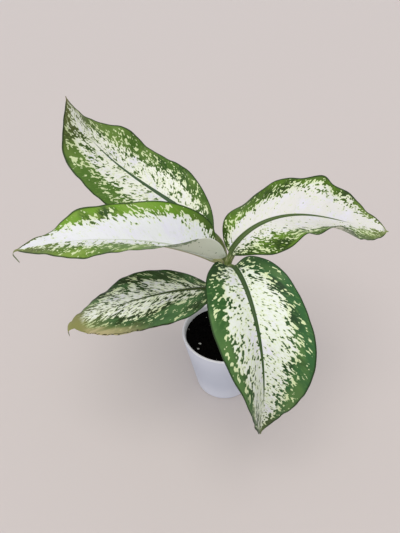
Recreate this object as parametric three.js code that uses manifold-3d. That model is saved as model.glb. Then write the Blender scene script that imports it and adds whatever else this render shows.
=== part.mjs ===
// Potted dieffenbachia: a white tapered pot, its soil, a short ringed cane and five variegated leaves.
// Millimetres, +Z up. The origin is the middle of the pot's flat underside.
//
// A leaf is one solid: its petiole rises from a clasping foot on the cane and runs on under the blade
// as the midrib. Azimuths are in degrees from +X towards +Y, elevations in degrees above level.

import * as THREE from "three";
import { mergeVertices } from "three/addons/utils/BufferGeometryUtils.js";
import Module from "manifold-3d";

const wasm = await Module();
wasm.setup();

const UP = new THREE.Vector3(0, 0, 1);
const { clamp, degToRad, lerp, smoothstep } = THREE.MathUtils;

// ---- Driving dimensions ------------------------------------------------------------------------

const FIT_GAP = 0.3;

const POT = {
  height: 102,
  rimRadius: 60,
  baseRadius: 41,
  wall: 3.5,
  floor: 5,
  footRound: 4,
  rimRound: 1.5,
  drainHoles: 4,
  drainRadius: 3,
  drainCircle: 22,
  drainSegments: 12,
  segments: 40,
};

const SOIL = {
  level: 94,
  relief: 0.9,
  broadSwell: [0.13, 0.17], // radians a millimetre along X and Y
  fineSwell: [0.43, 0.31],
  fineShare: 0.6,
  flatEdge: 1,
  rings: 5,
};

const CANE = {
  radius: 9,
  foot: 20,
  footBevel: [3, 4],
  top: 171,
  shoulder: 10, // how far below the top it starts to close in
  domeHeight: 4,
  domeShare: 0.75,
  firstScar: 101,
  scarPitch: 11,
  scarProud: 0.8,
  scarHalfHeight: 1.6,
  segments: 16,
};

const BLADE = {
  thickness: 1,
  rows: 27,
  dripRows: 4,
  columns: [0, 0.15, 0.42, 0.71, 1], // share of the way from the midrib to the edge
  tipHalfWidth: 0.6,
  creaseRadius: 3,
  lobeReach: 0.35, // the part of the blade that its base's lobes take up
  crowding: 1.25, // how much closer the side veins start at the base
  veinSweep: 0.4, // how much of a side vein's run towards the tip comes late, near the edge
};

const PETIOLE = {
  radius: 4.5,
  sheathHalfWidth: 8.5,
  sheathHalfDepth: 5,
  sheathStart: 0.05, // places along the petiole, from its foot (0) to the blade (1)
  sheathEnd: 0.55,
  footTaper: 0.5,
  footEnd: 0.12,
  turnEnd: 0.8,
  sinkStart: 0.7,
  upright: 0.5, // how far its course keeps to its first and its last direction
  levelling: 0.25,
  footRadius: 8.5,
  sides: 8,
  rings: 13,
  midribRings: 7,
  midribEnd: 0.7,
  midribEndRadius: 0.9,
  midribTaper: 0.7,
  midribSink: 0.62,
};

// One entry a leaf, from the oldest, lowest one to the newest, which grows out of the cane's top.
//   foot          height on the cane where the petiole leaves it, its azimuth there, and how far from
//                 the cane's axis it starts where that isn't at the cane's side
//   base          where petiole and blade meet
//   heading, bend azimuth of the blade at its base, and how far it turns by its tip
//   rise          elevation of the midrib at the blade's base, middle and tip
//   length, half  length along the midrib and half the greatest width
//   widest, taper where along the blade it is widest, and how bluntly it runs out to the tip
//   lobe          how far the blade's base reaches back beside the petiole, left and right
//   roll          twist about the midrib at the base and the tip
//   fold, curl    how far each half is folded up at the midrib, and how it curls from there to its
//                 edge, at the base and the tip
//   side          width of the left and right half against the nominal one
//   drip          the narrow drip tip: its length, how far it turns down, half its width at the blade
//   waves         edge waves of the left and right half: [place along the blade, reach, height]
const LEAVES = [
  {
    name: "leaf_left_low",
    foot: { height: 107, azimuth: 200 },
    base: [-17, -6, 183],
    heading: 206,
    bend: 1,
    rise: [21, 5, -9],
    length: 179,
    half: 48.5,
    widest: 0.53,
    taper: 0.6,
    lobe: [-0.03, 0],
    roll: [-9, 9],
    fold: [-2, -7],
    curl: [14, 15],
    side: [1.14, 1],
    drip: { length: 16, fall: 85, halfWidth: 5 },
    waves: {
      left: [[0.81, 0.11, -3.5]],
      right: [[0.74, 0.105, -9], [0.91, 0.075, -16.5]],
    },
  },
  {
    name: "leaf_front",
    foot: { height: 121, azimuth: 283 },
    base: [4.5, -34.5, 236.5],
    heading: 284,
    bend: 2,
    rise: [22, -63, -89],
    length: 230,
    half: 61.5,
    widest: 0.4,
    taper: 0.97,
    lobe: [-0.02, 0.01],
    roll: [9, -26],
    fold: [40, 37],
    curl: [-43, 19],
    side: [0.9, 0.95],
    drip: { length: 2, fall: 0, halfWidth: 1.1 },
    waves: {
      left: [[0.01, 0.045, 34.5], [0.31, 0.135, -10], [0.9, 0.06, -10]],
      right: [[0.01, 0.045, 51.5], [0.33, 0.15, -11], [0.6, 0.085, 13], [0.91, 0.075, -8.5]],
    },
  },
  {
    name: "leaf_back_left",
    foot: { height: 135, azimuth: 135 },
    base: [-14.5, 20.5, 246],
    heading: 150,
    bend: 28,
    rise: [33, 31, 81],
    length: 243,
    half: 61,
    widest: 0.54,
    taper: 0.92,
    lobe: [0.03, 0.04],
    roll: [-15, 1],
    fold: [19, -12],
    curl: [-2, 3],
    side: [1.12, 1],
    drip: { length: 2, fall: 0, halfWidth: 1.1 },
    waves: {
      left: [[0.84, 0.11, -21]],
      right: [[0.29, 0.11, 11], [0.73, 0.115, 22.5]],
    },
  },
  {
    name: "leaf_right",
    foot: { height: 149, azimuth: 335 },
    base: [3, -11, 239],
    heading: 19,
    bend: -34,
    rise: [66, -7, -4],
    length: 207,
    half: 57.5,
    widest: 0.49,
    taper: 0.7,
    lobe: [0.03, 0],
    roll: [8, 7],
    fold: [14, 3],
    curl: [-20, 44],
    side: [1.07, 1.11],
    drip: { length: 2, fall: 0, halfWidth: 1.1 },
    waves: {
      left: [
        [0.22, 0.075, -17], [0.32, 0.075, -11], [0.64, 0.055, 10.5],
        [0.78, 0.045, 5], [0.9, 0.045, -12],
      ],
      right: [[0.18, 0.11, -16.5], [0.38, 0.045, 11], [0.53, 0.09, 15], [0.65, 0.085, 9.5]],
    },
  },
  {
    name: "leaf_left_new",
    foot: { height: 166, azimuth: 193, radius: 2 },
    base: [-18.5, -10.5, 235],
    heading: 193,
    bend: 0,
    rise: [32, 12, -6],
    length: 217,
    half: 51,
    widest: 0.36,
    taper: 0.81,
    lobe: [0.1, 0.04],
    roll: [-18, -2],
    fold: [50, 8],
    curl: [14, -6],
    side: [1.04, 0.91],
    drip: { length: 18, fall: 105, halfWidth: 2 },
    waves: {
      left: [[0.17, 0.115, 21], [0.34, 0.1, 1.5], [0.73, 0.105, -13]],
      right: [[0.46, 0.095, -4], [0.62, 0.1, 0.5], [0.72, 0.075, 13], [0.86, 0.06, -22.5]],
    },
  },
];

const COLOURS = {
  pot: 0xe9e8ee,
  soil: 0x14100e,
  cane: 0x7d8a4a,
  leaf_left_low: 0x4f7443,
  leaf_front: 0x5c8a58,
  leaf_back_left: 0x6a9852,
  leaf_right: 0x86a468,
  leaf_left_new: 0x9dbb5a,
};

// ---- Closed meshes and booleans ----------------------------------------------------------------

function closedGeometry(points, triangles) {
  const geometry = new THREE.BufferGeometry();
  geometry.setAttribute("position", new THREE.Float32BufferAttribute(points.flatMap((p) => p.toArray()), 3));
  geometry.setIndex(triangles.flat());
  return geometry;
}

// Triangle corners with the collapsed triangles at a lathe's axis left out, turned to face outwards.
function soundTriangles(points, corners) {
  const kept = [];
  let sixVolumes = 0;
  const [a, b, c] = [new THREE.Vector3(), new THREE.Vector3(), new THREE.Vector3()];
  for (let i = 0; i < corners.length; i += 3) {
    const triangle = [corners[i], corners[i + 1], corners[i + 2]];
    if (new Set(triangle).size === 3) {
      kept.push(...triangle);
      a.fromArray(points, 3 * triangle[0]);
      b.fromArray(points, 3 * triangle[1]);
      c.fromArray(points, 3 * triangle[2]);
      sixVolumes += a.dot(b.cross(c));
    }
  }
  return sixVolumes < 0 ? kept.reverse() : kept;
}

function toSolid(geometry) {
  const bare = geometry.clone();
  bare.deleteAttribute("normal");
  bare.deleteAttribute("uv");
  const merged = mergeVertices(bare, 1e-3);
  const points = new Float32Array(merged.attributes.position.array);
  const corners = soundTriangles(points, Array.from(merged.index.array));
  return new wasm.Manifold(new wasm.Mesh({
    numProp: 3,
    vertProperties: points,
    triVerts: new Uint32Array(corners),
  }));
}

function toGeometry(solid) {
  const mesh = solid.getMesh();
  const geometry = new THREE.BufferGeometry();
  geometry.setAttribute("position", new THREE.BufferAttribute(mesh.vertProperties, 3));
  geometry.setIndex(new THREE.BufferAttribute(mesh.triVerts, 1));
  geometry.computeVertexNormals();
  return geometry;
}

// What a cut leaves of a solid: its main body, without any scrap that came loose.
function mainBody(solid) {
  const bodies = solid.decompose();
  return bodies.reduce((best, body) => (body.volume() > best.volume() ? body : best));
}

function namedMesh(name, geometry, roughness) {
  const material = new THREE.MeshStandardMaterial({ color: COLOURS[name], roughness, metalness: 0 });
  const mesh = new THREE.Mesh(geometry, material);
  mesh.name = name;
  return mesh;
}

// A tube through a run of rings of points, closed at both ends.
function skinRings(rings) {
  const sides = rings[0].length;
  const triangles = [];
  for (let ring = 0; ring < rings.length - 1; ring += 1) {
    for (let side = 0; side < sides; side += 1) {
      const here = ring * sides + side;
      const next = ring * sides + ((side + 1) % sides);
      triangles.push([here, next, next + sides], [here, next + sides, here + sides]);
    }
  }
  const lastRing = (rings.length - 1) * sides;
  for (let side = 1; side < sides - 1; side += 1) {
    triangles.push([0, side + 1, side], [lastRing, lastRing + side, lastRing + side + 1]);
  }
  return closedGeometry(rings.flat(), triangles);
}

// A thin plate between two grids of points. Both faces are split along the same diagonals.
function skinPlate(upper, lower) {
  const rows = upper.length;
  const columns = upper[0].length;
  const offset = rows * columns;
  const at = (row, column) => row * columns + column;
  const triangles = [];
  const addWall = (from, to) => {
    triangles.push([to, from, offset + from], [to, offset + from, offset + to]);
  };
  for (let row = 0; row < rows - 1; row += 1) {
    for (let column = 0; column < columns - 1; column += 1) {
      const a = at(row, column);
      const b = at(row, column + 1);
      const c = at(row + 1, column + 1);
      const d = at(row + 1, column);
      triangles.push([a, b, c], [a, c, d]);
      triangles.push([offset + a, offset + c, offset + b], [offset + a, offset + d, offset + c]);
    }
    addWall(at(row + 1, 0), at(row, 0));
    addWall(at(row, columns - 1), at(row + 1, columns - 1));
  }
  for (let column = 0; column < columns - 1; column += 1) {
    addWall(at(0, column), at(0, column + 1));
    addWall(at(rows - 1, column + 1), at(rows - 1, column));
  }
  return closedGeometry([...upper.flat(), ...lower.flat()], triangles);
}

// ---- Pot, soil and cane ------------------------------------------------------------------------

function lathe(profile, segments) {
  const outline = profile.map(([radius, height]) => new THREE.Vector2(radius, height));
  return new THREE.LatheGeometry(outline, segments).rotateX(Math.PI / 2);
}

// Points of a rounding in a profile, from one angle to another in degrees.
function rounding([radius, height], size, from, to, steps) {
  const points = [];
  for (let step = 0; step <= steps; step += 1) {
    const angle = degToRad(lerp(from, to, step / steps));
    points.push([radius + size * Math.cos(angle), height + size * Math.sin(angle)]);
  }
  return points;
}

function potInnerRadius(height) {
  return lerp(POT.baseRadius, POT.rimRadius, height / POT.height) - POT.wall;
}

function drainHole(index) {
  const { drainRadius, drainCircle, drainSegments, floor } = POT;
  const angle = (2 * Math.PI * (index + 0.5)) / POT.drainHoles;
  const drill = new THREE.CylinderGeometry(drainRadius, drainRadius, 4 * floor, drainSegments);
  drill.rotateX(Math.PI / 2);
  drill.translate(drainCircle * Math.cos(angle), drainCircle * Math.sin(angle), 0);
  return toSolid(drill);
}

function makePot() {
  const { height, rimRadius, baseRadius, wall, floor, footRound, rimRound } = POT;
  let pot = toSolid(lathe([
    [0, 0],
    ...rounding([baseRadius - footRound, footRound], footRound, -90, 0, 3),
    ...rounding([rimRadius - rimRound, height - rimRound], rimRound, 0, 90, 2),
    ...rounding([rimRadius - wall + rimRound, height - rimRound], rimRound, 90, 180, 2),
    [potInnerRadius(floor), floor],
    [0, floor],
  ], POT.segments));
  for (let hole = 0; hole < POT.drainHoles; hole += 1) {
    pot = pot.subtract(drainHole(hole));
  }
  return toGeometry(pot);
}

// Crumbly unevenness of the soil's surface, as a height at a place on it.
function soilRelief(x, y) {
  const [broadX, broadY] = SOIL.broadSwell;
  const [fineX, fineY] = SOIL.fineSwell;
  const broad = Math.sin(broadX * x + 1) * Math.cos(broadY * y);
  const fine = Math.sin(fineX * x - fineY * y) * Math.cos(fineY * x + fineX * y);
  return SOIL.relief * (broad + SOIL.fineShare * fine);
}

function makeSoil() {
  const bottom = POT.floor + FIT_GAP;
  const holeRadius = CANE.radius + FIT_GAP;
  const edgeRadius = potInnerRadius(SOIL.level) - FIT_GAP;
  const surface = [];
  for (let ring = 0; ring <= SOIL.rings; ring += 1) {
    surface.push([lerp(holeRadius, edgeRadius, ring / SOIL.rings), SOIL.level]);
  }
  const geometry = lathe([
    [0, CANE.foot - FIT_GAP],
    [holeRadius, CANE.foot - FIT_GAP],
    ...surface,
    [potInnerRadius(bottom) - FIT_GAP, bottom],
    [0, bottom],
  ], POT.segments);
  const position = geometry.attributes.position;
  for (let i = 0; i < position.count; i += 1) {
    const [x, y, z] = [position.getX(i), position.getY(i), position.getZ(i)];
    const inland = edgeRadius - Math.hypot(x, y);
    if (z >= SOIL.level && inland > SOIL.flatEdge) {
      position.setZ(i, z + soilRelief(x, y));
    }
  }
  return toGeometry(toSolid(geometry));
}

// The cane with its leaf scars, a little larger all round by grow where it is used as a cutter.
function caneSolid(grow = 0) {
  const radius = CANE.radius + grow;
  const [bevelWidth, bevelHeight] = CANE.footBevel;
  const profile = [
    [0, CANE.foot - grow],
    [radius - bevelWidth, CANE.foot - grow],
    [radius, CANE.foot + bevelHeight],
  ];
  for (let scar = CANE.firstScar; scar < CANE.top - CANE.scarPitch; scar += CANE.scarPitch) {
    profile.push([radius, scar - CANE.scarHalfHeight]);
    profile.push([radius + CANE.scarProud, scar]);
    profile.push([radius, scar + CANE.scarHalfHeight]);
  }
  profile.push(
    [radius, CANE.top - CANE.shoulder],
    [CANE.domeShare * radius, CANE.top - CANE.domeHeight + grow],
    [0, CANE.top + grow],
  );
  return toSolid(lathe(profile, CANE.segments));
}

// ---- Leaf: the midrib's course -----------------------------------------------------------------

const SPINE_STEPS = 160;

function elevationAt(leaf, part) {
  const [start, middle, end] = leaf.rise;
  const nearBase = start * (1 - part) * (1 - 2 * part);
  const nearTip = end * part * (2 * part - 1);
  return nearBase + 4 * middle * part * (1 - part) + nearTip;
}

// Points along the midrib from the blade's base to the drip tip's end. Each has the direction along
// the midrib, the one to the blade's right and the one out of its upper face.
function spineOf(leaf) {
  const step = (leaf.length + leaf.drip.length) / SPINE_STEPS;
  const spine = [];
  const point = new THREE.Vector3(...leaf.base);
  for (let i = 0; i <= SPINE_STEPS; i += 1) {
    const part = Math.min((i * step) / leaf.length, 1);
    const pastTip = clamp((i * step - leaf.length) / leaf.drip.length, 0, 1);
    const elevation = degToRad(elevationAt(leaf, part) - leaf.drip.fall * Math.min(1, 2 * pastTip));
    const azimuth = degToRad(leaf.heading + leaf.bend * part ** 1.5);
    const along = new THREE.Vector3(Math.cos(azimuth), Math.sin(azimuth), 0)
      .multiplyScalar(Math.cos(elevation))
      .addScaledVector(UP, Math.sin(elevation));
    if (i > 0) {
      point.addScaledVector(spine[i - 1].along, step / 2).addScaledVector(along, step / 2);
    }
    const level = new THREE.Vector3(Math.sin(azimuth), -Math.cos(azimuth), 0);
    const above = level.clone().cross(along);
    const roll = degToRad(lerp(...leaf.roll, part));
    const right = level.clone().multiplyScalar(Math.cos(roll)).addScaledVector(above, -Math.sin(roll));
    const face = above.clone().multiplyScalar(Math.cos(roll)).addScaledVector(level, Math.sin(roll));
    spine.push({ point: point.clone(), along, right, face });
  }
  return spine;
}

function spineAt(leaf, spine, distance) {
  const total = leaf.length + leaf.drip.length;
  const place = clamp(distance / total, 0, 1) * SPINE_STEPS;
  const before = spine[Math.floor(place)];
  const after = spine[Math.min(Math.floor(place) + 1, SPINE_STEPS)];
  const mix = (key) => before[key].clone().lerp(after[key], place - Math.floor(place));
  const along = mix("along");
  const point = mix("point").addScaledVector(along, distance - clamp(distance, 0, total));
  return { point, along, right: mix("right"), face: mix("face") };
}

// ---- Leaf: the blade ---------------------------------------------------------------------------

const BENDS = 8; // straight steps that a half's bend from midrib to edge is added up from

// Half the blade's width at t, which runs from base (0) to tip (1) and a little past it along the
// drip tip.
function halfWidthAt(leaf, t) {
  const part = Math.min(t, 1);
  const power = (leaf.taper * leaf.widest) / (1 - leaf.widest);
  const peak = leaf.widest ** power * (1 - leaf.widest) ** leaf.taper;
  const swell = (part ** power * (1 - part) ** leaf.taper) / peak;
  const alongDrip = (Math.max(t - 1, 0) * leaf.length) / leaf.drip.length;
  return Math.max(leaf.half * swell, lerp(leaf.drip.halfWidth, BLADE.tipHalfWidth, alongDrip));
}

// Place on the blade laid flat: distance along the midrib and out from it. v runs from the midrib (0)
// to the edge (1) along a side vein, which sweeps towards the tip on its way out.
function flatPlace(leaf, side, t, v) {
  const part = Math.min(t, 1);
  const past = Math.max(t - 1, 0) * leaf.length;
  const lobe = leaf.lobe[side > 0 ? 1 : 0];
  const lobed = lobe * Math.sin(Math.PI * Math.min(1, part / BLADE.lobeReach));
  const edge = leaf.length * (part - lobed);
  const midrib = leaf.length * part ** BLADE.crowding;
  const swept = lerp(v, v * v, BLADE.veinSweep);
  return { distance: lerp(midrib, edge, swept) + past, reach: halfWidthAt(leaf, t) * v };
}

function waveHeight(waves, part) {
  return waves.reduce((sum, [place, reach, height]) => {
    const away = (part - place) / reach;
    return sum + height * Math.exp(-(away ** 2));
  }, 0);
}

// A point of the blade's middle surface. across runs from the left edge (-1) to the right one (1).
function bladePoint(leaf, spine, t, across) {
  const side = Math.sign(across) || 1;
  const { distance, reach } = flatPlace(leaf, side, t, Math.abs(across));
  const part = clamp(distance / leaf.length, 0, 1);
  const fold = degToRad(lerp(...leaf.fold, part));
  const curl = degToRad(lerp(...leaf.curl, part)) / leaf.half;
  let out = 0;
  let up = 0;
  for (let bend = 0; bend < BENDS; bend += 1) {
    const along = (reach * (bend + 0.5)) / BENDS;
    const angle = fold * (1 - Math.exp(-along / BLADE.creaseRadius)) + curl * along;
    out += (Math.cos(angle) * reach) / BENDS;
    up += (Math.sin(angle) * reach) / BENDS;
  }
  up += waveHeight(side > 0 ? leaf.waves.right : leaf.waves.left, part) * (reach / leaf.half) ** 2;
  const frame = spineAt(leaf, spine, distance);
  return frame.point
    .addScaledVector(frame.right, side * out * leaf.side[side > 0 ? 1 : 0])
    .addScaledVector(frame.face, up);
}

function bladeNormal(leaf, spine, t, across, last) {
  const [stepAlong, stepAcross] = [0.004, 0.03];
  const forward = bladePoint(leaf, spine, Math.min(t + stepAlong, last), across);
  const back = bladePoint(leaf, spine, Math.max(t - stepAlong, 0), across);
  const right = bladePoint(leaf, spine, t, Math.min(across + stepAcross, 1));
  const left = bladePoint(leaf, spine, t, Math.max(across - stepAcross, -1));
  return right.sub(left).cross(forward.sub(back)).normalize();
}

function bladeSolid(leaf, spine) {
  const last = 1 + leaf.drip.length / leaf.length;
  const places = [];
  for (let row = 0; row <= BLADE.rows; row += 1) {
    places.push(row / BLADE.rows);
  }
  for (let row = 1; row <= BLADE.dripRows; row += 1) {
    places.push(lerp(1, last, row / BLADE.dripRows));
  }
  const columns = [...BLADE.columns.slice(1).reverse().map((v) => -v), ...BLADE.columns];
  const upper = [];
  const lower = [];
  for (const t of places) {
    const frames = columns.map((across) => ({
      point: bladePoint(leaf, spine, t, across),
      normal: bladeNormal(leaf, spine, t, across, last),
    }));
    const offset = BLADE.thickness / 2;
    upper.push(frames.map(({ point, normal }) => point.clone().addScaledVector(normal, offset)));
    lower.push(frames.map(({ point, normal }) => point.clone().addScaledVector(normal, -offset)));
  }
  return toSolid(skinPlate(upper, lower));
}

// ---- Leaf: the petiole and midrib --------------------------------------------------------------

function ellipseRing(centre, side, depth, halfWidth, halfDepth) {
  const ring = [];
  for (let i = 0; i < PETIOLE.sides; i += 1) {
    const angle = (2 * Math.PI * i) / PETIOLE.sides;
    ring.push(centre.clone()
      .addScaledVector(side, halfWidth * Math.cos(angle))
      .addScaledVector(depth, halfDepth * Math.sin(angle)));
  }
  return ring;
}

// The petiole's course, from its foot on the cane up and over to the blade's base.
function petioleCurve(leaf, spine) {
  const azimuth = degToRad(leaf.foot.azimuth);
  const start = new THREE.Vector3(Math.cos(azimuth), Math.sin(azimuth), 0)
    .multiplyScalar(leaf.foot.radius ?? PETIOLE.footRadius)
    .addScaledVector(UP, leaf.foot.height);
  const end = spine[0].point;
  const reach = start.distanceTo(end);
  const lowHandle = start.clone().addScaledVector(UP, PETIOLE.upright * reach);
  const highHandle = end.clone().addScaledVector(spine[0].along, -PETIOLE.levelling * reach);
  return new THREE.CubicBezierCurve3(start, lowHandle, highHandle, end);
}

function petioleRings(leaf, spine, grow) {
  const curve = petioleCurve(leaf, spine);
  const azimuth = degToRad(leaf.foot.azimuth);
  const clasping = new THREE.Vector3(Math.sin(azimuth), -Math.cos(azimuth), 0);
  const rings = [];
  for (let i = 0; i < PETIOLE.rings; i += 1) {
    const part = i / PETIOLE.rings;
    const along = curve.getTangent(part);
    const side = clasping.clone().lerp(spine[0].right, smoothstep(part, 0, PETIOLE.turnEnd));
    side.addScaledVector(along, -side.dot(along)).normalize();
    const depth = side.clone().cross(along);
    const sheath = 1 - smoothstep(part, PETIOLE.sheathStart, PETIOLE.sheathEnd);
    const swell = lerp(PETIOLE.footTaper, 1, smoothstep(part, 0, PETIOLE.footEnd));
    const halfWidth = lerp(PETIOLE.radius, PETIOLE.sheathHalfWidth, sheath) * swell + grow;
    const halfDepth = lerp(PETIOLE.radius, PETIOLE.sheathHalfDepth, sheath) * swell + grow;
    const sink = PETIOLE.radius * PETIOLE.midribSink * smoothstep(part, PETIOLE.sinkStart, 1);
    const centre = curve.getPoint(part).addScaledVector(spine[0].face, -sink);
    rings.push(ellipseRing(centre, side, depth, halfWidth, halfDepth));
  }
  return rings;
}

function midribRings(leaf, spine, grow) {
  const rings = [];
  for (let i = 0; i <= PETIOLE.midribRings; i += 1) {
    const part = i / PETIOLE.midribRings;
    const frame = spineAt(leaf, spine, part * PETIOLE.midribEnd * leaf.length);
    const radius = lerp(PETIOLE.radius, PETIOLE.midribEndRadius, part ** PETIOLE.midribTaper) + grow;
    frame.point.addScaledVector(frame.face, -radius * PETIOLE.midribSink);
    rings.push(ellipseRing(frame.point, frame.right, frame.face, radius, radius));
  }
  return rings;
}

function stalkSolid(leaf, spine, grow = 0) {
  return toSolid(skinRings([...petioleRings(leaf, spine, grow), ...midribRings(leaf, spine, grow)]));
}

// ---- The whole plant ---------------------------------------------------------------------------

// Leaves from the newest to the oldest: each older petiole clasps the cane and the younger ones.
function makeLeaves() {
  let clasped = caneSolid(FIT_GAP);
  const meshes = [];
  for (const leaf of [...LEAVES].reverse()) {
    const spine = spineOf(leaf);
    const whole = bladeSolid(leaf, spine).add(stalkSolid(leaf, spine));
    meshes.push(namedMesh(leaf.name, toGeometry(mainBody(whole.subtract(clasped))), 0.4));
    clasped = clasped.add(stalkSolid(leaf, spine, FIT_GAP));
  }
  return meshes;
}

const plant = new THREE.Group();
plant.add(namedMesh("pot", makePot(), 0.55));
plant.add(namedMesh("soil", makeSoil(), 0.95));
plant.add(namedMesh("cane", toGeometry(caneSolid()), 0.6));
plant.add(...makeLeaves());

export default plant;
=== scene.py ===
import math
from types import SimpleNamespace as Values

import bpy
import numpy as np
from mathutils import Euler, Matrix, Vector


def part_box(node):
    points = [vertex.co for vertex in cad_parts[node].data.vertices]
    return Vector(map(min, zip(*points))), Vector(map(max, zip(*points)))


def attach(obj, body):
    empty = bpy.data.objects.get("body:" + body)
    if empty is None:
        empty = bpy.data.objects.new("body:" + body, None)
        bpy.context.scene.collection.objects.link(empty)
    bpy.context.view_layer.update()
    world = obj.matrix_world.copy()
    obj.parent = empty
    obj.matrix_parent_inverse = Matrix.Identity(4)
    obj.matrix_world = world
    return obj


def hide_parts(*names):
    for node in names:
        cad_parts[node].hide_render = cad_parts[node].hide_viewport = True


# Looks of the potted dieffenbachia: fine leaves with variegation, a smooth pot, crumbly soil with
# perlite, and the ringed cane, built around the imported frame. Lengths are in millimetres and angles
# in degrees, as in the frame's own source, and meshes are made in metres.

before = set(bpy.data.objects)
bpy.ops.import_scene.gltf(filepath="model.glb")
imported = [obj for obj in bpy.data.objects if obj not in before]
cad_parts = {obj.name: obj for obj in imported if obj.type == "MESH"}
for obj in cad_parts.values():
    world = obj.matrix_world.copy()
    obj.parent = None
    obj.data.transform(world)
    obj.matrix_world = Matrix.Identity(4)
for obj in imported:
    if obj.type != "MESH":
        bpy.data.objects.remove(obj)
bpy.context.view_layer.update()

MM = 0.001
UP = np.array([0.0, 0.0, 1.0])

# ---- Driving dimensions ----

POT = Values(
    base_radius=41, wall=3.5, floor=5, foot_round=4, rim_round=1.5, segments=144,
    drain_holes=4, drain_radius=3, drain_circle=22, drain_segments=32,
)
SOIL = Values(
    level=94,
    gap=0.3,  # between it and the cane
    flat_edge=3,  # how far in from the pot its surface is still level
    swell=34, clod=7, crumb=3.4,  # pitch of its swells, of its clods and of the crumbs on them
    swell_height=0.7, clod_height=1.1,
    crumb_share=0.6,  # of the clods' height
    sunk=0.6,
    rings=64, segments=192,
)
# Loose crumbs, kept clear of the pot's wall and of the hole.
CRUMBS = Values(count=260, least=0.8, most=2.2, clear=2, seed=5)
# White grains on the soil: x, y and radius.
PERLITE = (
    (-35.5, -19, 1.8), (-38, -29.5, 2.1), (-51, 10.5, 0.6), (14, -41, 1.4), (33, -24, 1.1), (44, 9, 1.5),
    (27, 34, 1.2), (-6, 45, 1.4), (-25, 33, 0.5), (9, 22, 1.2), (24, -6, 0.9), (-14, -47, 0.5),
)
# The shape that crumbs and perlite share: an uneven ball with a flattened top and bottom.
GRAIN = Values(
    raised=0.3,  # how far its centre stands above the soil, against its radius
    uneven=(0.8, 1.2), stretched=(0.75, 1.25), steepest=60, rings=4, segments=8, seed=8,
)
CANE = Values(
    radius=9, first_scar=101, scar_pitch=11, scar_proud=0.8, scar_spread=0.96,
    bare_from=98,
    scars_end=(14, 10),  # how far below the top they start to fade, and have faded
    dome=7,  # radius of the rounding at its top
    rows=150, segments=72,
)

BLADE = Values(
    thickness=0.7, edge_thickness=0.35,
    edge_taper=12,  # how far in from the edge it starts to get thinner
    tip_half_width=0.6,
    crease_radius=3,
    late_bend=1.5,  # the higher, the nearer the tip the blade turns aside
    lobe_reach=0.35,  # the part of the blade that its base's lobes take up
    crowding=1.25,  # how much closer the side veins start at the base
    vein_sweep=0.4,  # how much of a side vein's run towards the tip comes late, near the edge
    bends=8,  # steps in which a half is bent, from the midrib to its edge
    spine_steps=160, rows=230, drip_rows=14,
    columns=36, column_crowding=1.15,  # from the midrib to either edge, and closer at the midrib
)
# Side veins, sunk in the blade. Straying and offset between the halves are in pitches.
VEINS = Values(
    pitch=9, depth=0.12, sharpness=3, straying=0.35, offset=0.3,
    stray_swing=0.09,  # radians a millimetre along the midrib
    from_midrib=(1, 9), from_edge=(0, 10),  # how far from these they set in and are at their deepest
)
# Ripples that grow towards the edge. Swings are in radians a millimetre along the midrib.
RIPPLES = Values(
    height=0.4, broad=0.21, fine=0.37, fine_share=0.7, fine_phase=2.1, offset=1.3, towards_edge=3,
    full_width=(3, 25),  # half widths of the blade at which they set in and are full
)
# The green band along the midrib, on the upper face.
RIB = Values(
    end=0.86, fading=0.12,  # where along the blade it has faded out, and over how much of it
    taper=0.75,
    least=0.06,  # its width at the end against its width at the base
    ridge=0.5,  # how far it stands proud
)
# How the white centre and the green margin break up into each other, by noise of three sizes.
FLECKS = Values(
    bay=22, bay_reach=9,  # how broad the border's bays are, and how far they reach in and out
    blotch=(5.4, 8), fleck=(2.2, 4.2),  # sizes across and along the side veins
    blotch_swing=0.5, fleck_swing=0.45,
    within=16,  # how far inside the border is well inside the white
    blotch_within=0.4, fleck_within=0.85,  # how much of their swing is left there
    settling=12,  # how far from the border either side comes to keep its own colour
    green_rims=((7, 1, 0.12), (2.2, 1.4, 0.3)),  # distances from the edge, and how firmly green
    rim_border=(12, 4),  # from this far inside the border on, the white reaches the edge all the same
    softness=0.012,
    crowd_from=0.5, tip_crowding=0.7,  # where along the blade flecks get finer, and how much
    least_half=0.45,  # near base and tip the border lies as on a half at least this wide
)

PETIOLE = Values(
    radius=4.5, sheath_half_width=8.5, sheath_half_depth=5, foot_radius=8.5,
    # Places along the petiole, from its foot (0) to the blade (1):
    sheath_start=0.05, sheath_end=0.55, foot_end=0.12, turn_end=0.8, sink_start=0.7,
    foot_taper=0.5,
    upright=0.5, levelling=0.25,  # how far its course keeps to its first and its last direction
    groove=3.4,  # depth of the channel down the sheath's upper side
    groove_width=0.5,  # against the sheath's half width
    groove_opens=(0.02, 0.15), groove_closes=(0.3, 0.75),
    sides=28, rings=64,
    midrib_rings=60, midrib_end=0.86, midrib_end_radius=0.45, midrib_taper=0.7, midrib_sink=0.62,
)

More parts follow.
